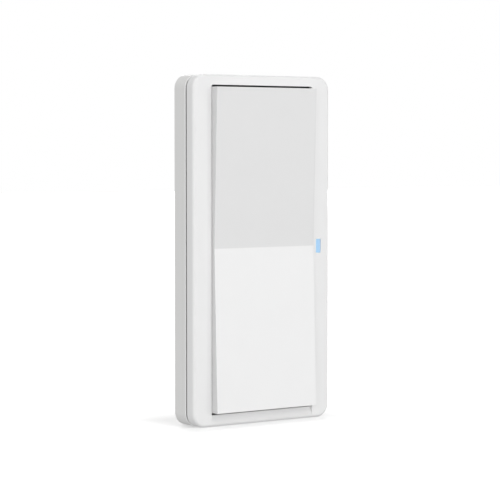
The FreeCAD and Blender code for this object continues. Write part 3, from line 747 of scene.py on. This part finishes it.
# Closed-cell polyethylene foam, sliced: pale, soft and full of small round cells.
sliced_foam = cellular("sliced_polyethylene_foam", "#E2E2DF", "#C9C9C6", 0.9, 0.5, 0.15)
# Silicone rubber pads, moulded and dusted: black and dull.
pad_rubber = cellular("moulded_silicone_rubber", "#222222", "#191919", 0.75, 0.25, 0.02, ior=1.41)
# Conductive rubber is filled with carbon, which makes it blacker and rougher.
carbon_rubber = cellular("carbon_filled_rubber", "#161616", "#0F0F0F", 0.85, 0.15, 0.02, ior=1.41)

# %% [markdown]
# ## Metals
# A metal's look is its colour, how rough it is, and which way its scratches run. One noise stretched
# along X gives the rolling or drawing lines, and a second, even one gives the cloudiness of a plating
# bath.

# %% Metals
LINE_STRETCH = 0.06        # a line's width as a share of its length, which runs along X
CLOUD = 2.5 * MM
LINE_DEPTH = 0.01 * MM
ROUGH_SPREAD = 0.08


def worked_metal(name, light, dark, roughness, line_mm):
    """A plated or rolled metal with fine lines along X."""
    material, tree, place = blank(name)
    along = add(tree, "ShaderNodeMapping", {"Vector": (place, "Object"), "Scale": (LINE_STRETCH, 1.0, 1.0)})
    lines = add(tree, "ShaderNodeTexNoise", {
        "Vector": (along, 0), "Scale": 1 / (line_mm * MM), "Detail": 2.0})
    cloud = add(tree, "ShaderNodeTexNoise", {"Vector": (place, "Object"), "Scale": 1 / CLOUD, "Detail": 3.0})
    tone = add(tree, "ShaderNodeMix", {MIX_FACTOR: (cloud, "Fac"), MIX_A: linear(light), MIX_B: linear(dark)},
               data_type="RGBA")
    rough = add(tree, "ShaderNodeMapRange", {"Value": (lines, "Fac"), "To Min": roughness - ROUGH_SPREAD,
                                             "To Max": roughness + ROUGH_SPREAD})
    relief = add(tree, "ShaderNodeBump", {"Height": (lines, "Fac"), "Strength": 0.15, "Distance": LINE_DEPTH})
    shader = add(tree, "ShaderNodeBsdfPrincipled", {
        "Base Color": (tone, MIX_RESULT), "Metallic": 1.0, "Roughness": (rough, 0), "Normal": (relief, 0)})
    add(tree, "ShaderNodeOutputMaterial", {"Surface": (shader, 0)})
    return material


# Neodymium discs plated with nickel: bright, smooth and slightly warm.
plated_nickel = worked_metal("bright_nickel_plate", "#DAD6CD", "#CECAC0", 0.34, 0.3)
# Small screws plated with zinc: bluish and softly bright.
plated_zinc = worked_metal("zinc_plated_steel", "#BFC3C8", "#AFB3B8", 0.35, 0.15)
# The strike plates are cut from galvanised strip, which is duller.
galvanised_strip = worked_metal("galvanised_strip", "#B5B7B9", "#A3A5A8", 0.45, 0.25)
# The coin cell's cups are pressed from stainless sheet.
pressed_stainless = worked_metal("pressed_stainless_steel", "#CFCFCD", "#C2C2C0", 0.28, 0.2)
# The battery contacts are nickel-plated spring strip.
contact_strip = worked_metal("nickel_plated_strip", "#CBC6BB", "#BDB8AD", 0.3, 0.15)
# The shield and the crystal's can are tinned steel.
tinned_steel = worked_metal("tinned_steel", "#CCCDCE", "#BDBEC0", 0.32, 0.3)
# The axle is ground all over.
ground_steel = worked_metal("ground_steel", "#C4C5C8", "#B6B7BA", 0.25, 0.08)
# The springs are drawn music wire.
drawn_wire = worked_metal("drawn_spring_wire", "#BDBEC2", "#ABACB0", 0.3, 0.1)
# The switch pads are copper with nickel and a flash of gold.
gold_flash = worked_metal("gold_flash", "#E3BC6A", "#D6AE5C", 0.25, 0.2)

# %% [markdown]
# ## The circuit board and its ceramic parts
# A circuit board is glass cloth in epoxy under a green lacquer. The copper under the lacquer shows as a
# lighter green network, which the edges of large Voronoi cells give, with small bare vias at the middles
# of smaller cells. Ceramic capacitors and antennas are fired blocks with tinned ends, so their colour
# changes near each end.

# %% Circuit board lacquer
TRACK_PITCH = 5 * MM
VIA_PITCH = 2.6 * MM


def lacquered_board(name):
    """Green lacquer over a copper network, with bare vias."""
    material, tree, place = blank(name)
    cells = add(tree, "ShaderNodeTexVoronoi", {"Vector": (place, "Object"), "Scale": 1 / TRACK_PITCH},
                feature="DISTANCE_TO_EDGE")
    track = add(tree, "ShaderNodeMapRange", {
        "Value": (cells, "Distance"), "From Min": 0.05, "From Max": 0.07})
    lacquer = add(tree, "ShaderNodeMix", {MIX_FACTOR: (track, 0), MIX_A: linear("#2F7D4B"),
                                          MIX_B: linear("#1C5833")}, data_type="RGBA")
    spots = add(tree, "ShaderNodeTexVoronoi", {"Vector": (place, "Object"), "Scale": 1 / VIA_PITCH})
    via = add(tree, "ShaderNodeMapRange", {
        "Value": (spots, "Distance"), "From Min": 0.11, "From Max": 0.09})
    tone = add(tree, "ShaderNodeMix", {MIX_FACTOR: (via, 0), MIX_A: (lacquer, MIX_RESULT),
                                       MIX_B: linear("#C9B36A")}, data_type="RGBA")
    relief = add(tree, "ShaderNodeBump", {"Height": (track, 0), "Strength": 0.4, "Distance": GRAIN_DEPTH},
                 invert=True)
    shader = add(tree, "ShaderNodeBsdfPrincipled", {
        "Base Color": (tone, MIX_RESULT), "Metallic": (via, 0), "Roughness": 0.32, "Normal": (relief, 0),
        "IOR": 1.52})
    add(tree, "ShaderNodeOutputMaterial", {"Surface": (shader, 0)})
    return material


board_lacquer = lacquered_board("green_solder_lacquer")


# %% Fired ceramic
CLAY_GRAIN = 0.15 * MM
BLOCK_PITCH = 60.0 * MM    # the tinned ends repeat at this distance, which no block reaches
CAPACITOR_Z_MM = 20.5


def fired_ceramic(name, body, speck, axis, centre_mm, half_mm):
    """A fired block with tinned ends: past half_mm from its middle along the axis, the colour is tin."""
    material, tree, place = blank(name)
    grain = add(tree, "ShaderNodeTexNoise", {
        "Vector": (place, "Object"), "Scale": 1 / CLAY_GRAIN, "Detail": 3.0})
    clay = add(tree, "ShaderNodeMix", {MIX_FACTOR: (grain, "Fac"), MIX_A: linear(body), MIX_B: linear(speck)},
               data_type="RGBA")
    spot = add(tree, "ShaderNodeSeparateXYZ", {"Vector": (place, "Object")})
    shifted = add(tree, "ShaderNodeMath", {0: (spot, axis), 1: centre_mm * MM}, operation="SUBTRACT")
    from_middle = add(tree, "ShaderNodeMath", {0: (shifted, 0), 1: BLOCK_PITCH / 2}, operation="PINGPONG")
    tin = add(tree, "ShaderNodeMath", {0: (from_middle, 0), 1: half_mm * MM}, operation="GREATER_THAN")
    tone = add(tree, "ShaderNodeMix", {MIX_FACTOR: (tin, 0), MIX_A: (clay, MIX_RESULT),
                                       MIX_B: linear("#C6C7C8")}, data_type="RGBA")
    relief = add(tree, "ShaderNodeBump", {"Height": (grain, "Fac"), "Strength": 0.1, "Distance": LINE_DEPTH})
    shader = add(tree, "ShaderNodeBsdfPrincipled", {
        "Base Color": (tone, MIX_RESULT), "Metallic": (tin, 0), "Roughness": 0.42, "Normal": (relief, 0),
        "IOR": 1.6})
    add(tree, "ShaderNodeOutputMaterial", {"Surface": (shader, 0)})
    return material


# Barium titanate capacitors: a fired tan body with tinned ends 0.3 mm long.
capacitor_clay = fired_ceramic("fired_capacitor_ceramic", "#A38257", "#94744B", "Z", CAPACITOR_Z_MM, 0.5)
# The antenna is a white low-loss ceramic with tinned ends 1 mm long.
antenna_clay = fired_ceramic("fired_antenna_ceramic", "#DCE0E4", "#CED3D8", "X", 0.0, 2.5)

# %% [markdown]
# ## Clear and tinted plastics
# Clear polycarbonate passes light, and the window's blue pigment scatters some of it back. The lamp
# behind is on, so the window also glows a little.

# %% Clear and tinted plastics
HAZE = 1.2 * MM


def clear_plastic(name, tint, haze, roughness, passes, glow):
    """A clear or tinted plastic: passes is the share of light let through, glow the lamp's light in it."""
    material, tree, place = blank(name)
    cloud = add(tree, "ShaderNodeTexNoise", {"Vector": (place, "Object"), "Scale": 1 / HAZE, "Detail": 2.0})
    tone = add(tree, "ShaderNodeMix", {MIX_FACTOR: (cloud, "Fac"), MIX_A: linear(tint), MIX_B: linear(haze)},
               data_type="RGBA")
    shader = add(tree, "ShaderNodeBsdfPrincipled", {
        "Base Color": (tone, MIX_RESULT), "Roughness": roughness, "Transmission Weight": passes, "IOR": 1.58,
        "Emission Color": (tone, MIX_RESULT), "Emission Strength": glow})
    add(tree, "ShaderNodeOutputMaterial", {"Surface": (shader, 0)})
    return material


# The window: polished polycarbonate tinted sky blue.
blue_polycarbonate = clear_plastic("tinted_blue_polycarbonate", "#9CCBF2", "#A6D1F4", 0.22, 0.1, 0.12)
# The light pipe: the same plastic, clear.
clear_polycarbonate = clear_plastic("clear_polycarbonate", "#EDF3F7", "#E4ECF2", 0.08, 0.9, 0.0)
# The lamp: clear epoxy over a pale phosphor.
lamp_epoxy = clear_plastic("clear_lamp_epoxy", "#E9EFD2", "#F2F5E2", 0.15, 0.5, 0.3)
# The coin cell's gasket is white nylon.
gasket_nylon = moulded_plastic("moulded_nylon_gasket", "#E6E5E0", "#DEDDD8", 0.4, bump=0.02, ior=1.53)

# %% [markdown]
# ## Seating the pieces
# Each finished piece stands for one node, so it rides on that node's body and takes the finish of that
# node's slot. The record says which body and which slot, so nothing is typed twice. The springs are the
# exception: they take their finish but ride on no body.

# %% Finishes by slot
FINISHES = {
    "base_plastic": base_abs_painted_highlight, "cover_plastic": cover_abs, "white_plastic": white_abs, "foam": sliced_foam,
    "magnet_nickel": plated_nickel, "screw_steel": plated_zinc, "plate_steel": galvanised_strip,
    "cell_steel": pressed_stainless, "contact_steel": contact_strip, "board_laminate": board_lacquer,
    "can_steel": tinned_steel, "chip_epoxy": moulded_epoxy, "antenna_ceramic": antenna_clay,
    "capacitor_ceramic": capacitor_clay, "gold_plate": gold_flash, "led_epoxy": lamp_epoxy,
    "clear_plastic": clear_polycarbonate, "window_plastic": blue_polycarbonate,
    "frame_plastic": filled_polyamide, "axle_steel": ground_steel,
    "button_plastic": button_polycarbonate, "bumper_rubber": pad_rubber,
    "pin_plastic": natural_acetal, "pill_rubber": carbon_rubber, "spring_steel": drawn_wire,
}
record = frame["record"]
body_of = {node: body for body, members in record["behaviour"]["bodies"].items() for node in members}
slot_of = {part["node"]: part["material_slot"] for part in record["subparts"]}


def dress(piece, material):
    """Gives a piece one material."""
    piece.data.materials.clear()
    piece.data.materials.append(material)


# %% Seat every piece
for node, cad_object in frame["nodes"].items():
    dress(cad_object, FINISHES[slot_of[node]])
for piece, node in made:
    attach(piece, body_of[node])
    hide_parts(node)
    dress(piece, FINISHES[slot_of[node]])
for side, spring in springs.items():
    node = f"{side}_return_spring"
    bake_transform(spring)
    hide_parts(node)
    dress(spring, drawn_wire)
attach(gasket, "module")
dress(gasket, gasket_nylon)
dress(rocker_cap, cap_abs_painted_shading)
print("pieces seated:", len(made) + len(springs) + 1)

# %% [markdown]
# ## Floor, backdrop and light
# The casing is white on white, so its form shows only through small steps of grey. An even sky gives most
# of the light. Two panels high in front make upward and downward slopes differ, two low ones in front
# open the scoop below the rocker, two at the left model the side wall, and one behind lights the back.
# The floor is kept out of the bounce, so that it can be white without washing out the grazing light, and
# it glows white, as overexposed paper does. Close to the casing its glow is dimmed, a painted shadow added
# to the soft contact shadow that the lights cast.

# %% Floor and backdrop
SKY_FILL = 0.46
NEAR_GLOW = 0.22
FAR_GLOW = 0.5
SHADOW_REACH = 18 * MM
FLOOR_SIZE = 6.0
FIBRE = 8 * MM
start_clean()
bpy.ops.mesh.primitive_plane_add(size=FLOOR_SIZE, location=(0, 0, cad_low.z))
floor = bpy.context.object
floor.name = "studio_floor"
floor.visible_diffuse = False
floor.visible_glossy = False
paper, paper_tree, paper_place = blank("white_paper_floor")
fibre = add(paper_tree, "ShaderNodeTexNoise", {"Vector": (paper_place, "Object"), "Scale": 1 / FIBRE})
paper_tone = add(paper_tree, "ShaderNodeMix", {MIX_FACTOR: (fibre, "Fac"), MIX_A: linear("#F6F6F6"),
                                               MIX_B: linear("#F4F4F4")}, data_type="RGBA")
beyond = add(paper_tree, "ShaderNodeVectorMath", {0: (paper_place, "Object")}, operation="ABSOLUTE")
outside = add(paper_tree, "ShaderNodeVectorMath", {0: (beyond, 0), 1: (cad_high.x, -cad_low.y, 0)},
              operation="SUBTRACT")
clear_of = add(paper_tree, "ShaderNodeVectorMath", {0: (outside, 0), 1: (0, 0, 0)}, operation="MAXIMUM")
distance = add(paper_tree, "ShaderNodeVectorMath", {0: (clear_of, 0)}, operation="LENGTH")
# Within the shadow's reach the glow dims towards the casing: painted contact shadow.
glow = add(paper_tree, "ShaderNodeMapRange", {"Value": (distance, "Value"), "From Max": SHADOW_REACH,
                                              "To Min": NEAR_GLOW, "To Max": FAR_GLOW})
shader = add(paper_tree, "ShaderNodeBsdfPrincipled", {
    "Base Color": (paper_tone, MIX_RESULT), "Roughness": 0.9, "Emission Color": linear("#FFFFFF"),
    "Emission Strength": (glow, 0)})
add(paper_tree, "ShaderNodeOutputMaterial", {"Surface": (shader, 0)})
floor.data.materials.append(paper)

world = bpy.data.worlds.new("studio_world")
bpy.context.scene.world = world
world.use_nodes = True
sky = world.node_tree
sky.nodes.clear()
seen_directly = add(sky, "ShaderNodeLightPath")
strength = add(sky, "ShaderNodeMapRange",
               {"Value": (seen_directly, "Is Camera Ray"), "To Min": SKY_FILL, "To Max": 1.0})
backdrop = add(sky, "ShaderNodeBackground", {"Color": (1.0, 1.0, 1.0, 1.0), "Strength": (strength, 0)})
add(sky, "ShaderNodeOutputWorld", {"Surface": (backdrop, 0)})
bpy.context.scene.view_settings.view_transform = "Standard"

# %% Lights
def soft_light(name, azimuth, elevation, distance, size, power):
    """A large area light that looks at the casing from an azimuth and an elevation in degrees."""
    start_clean()
    turn, rise = math.radians(azimuth), math.radians(elevation)
    away = Vector((math.sin(turn) * math.cos(rise), -math.cos(turn) * math.cos(rise), math.sin(rise)))
    bpy.ops.object.light_add(type="AREA", location=away * distance)
    light = bpy.context.object
    light.name = name
    light.data.shape = "RECTANGLE"
    light.data.size, light.data.size_y = size
    light.data.energy = power
    light.rotation_euler = away.to_track_quat("Z", "Y").to_euler()


HIGH_POWER = 27.5
TOP_POWER = 8.6
FRONT_POWER = 25.5
RIGHT_POWER = 23.6
CORNER_POWER = 11.6
LEFT_POWER = 19.4
REAR_POWER = 63.0
soft_light("high_panel", 0, 45, 4.0, (2.5, 1.5), HIGH_POWER)
soft_light("top_panel", 0, 60, 4.0, (2.5, 1.0), TOP_POWER)
soft_light("front_panel", 0, 5, 4.0, (2.0, 1.5), FRONT_POWER)
soft_light("right_panel", 36, 5, 4.0, (2.0, 1.5), RIGHT_POWER)
soft_light("corner_panel", -45, 10, 3.0, (1.6, 1.6), CORNER_POWER)
soft_light("left_panel", -92, 10, 3.0, (1.6, 1.6), LEFT_POWER)
soft_light("rear_panel", 155, 10, 4.0, (1.6, 1.6), REAR_POWER)
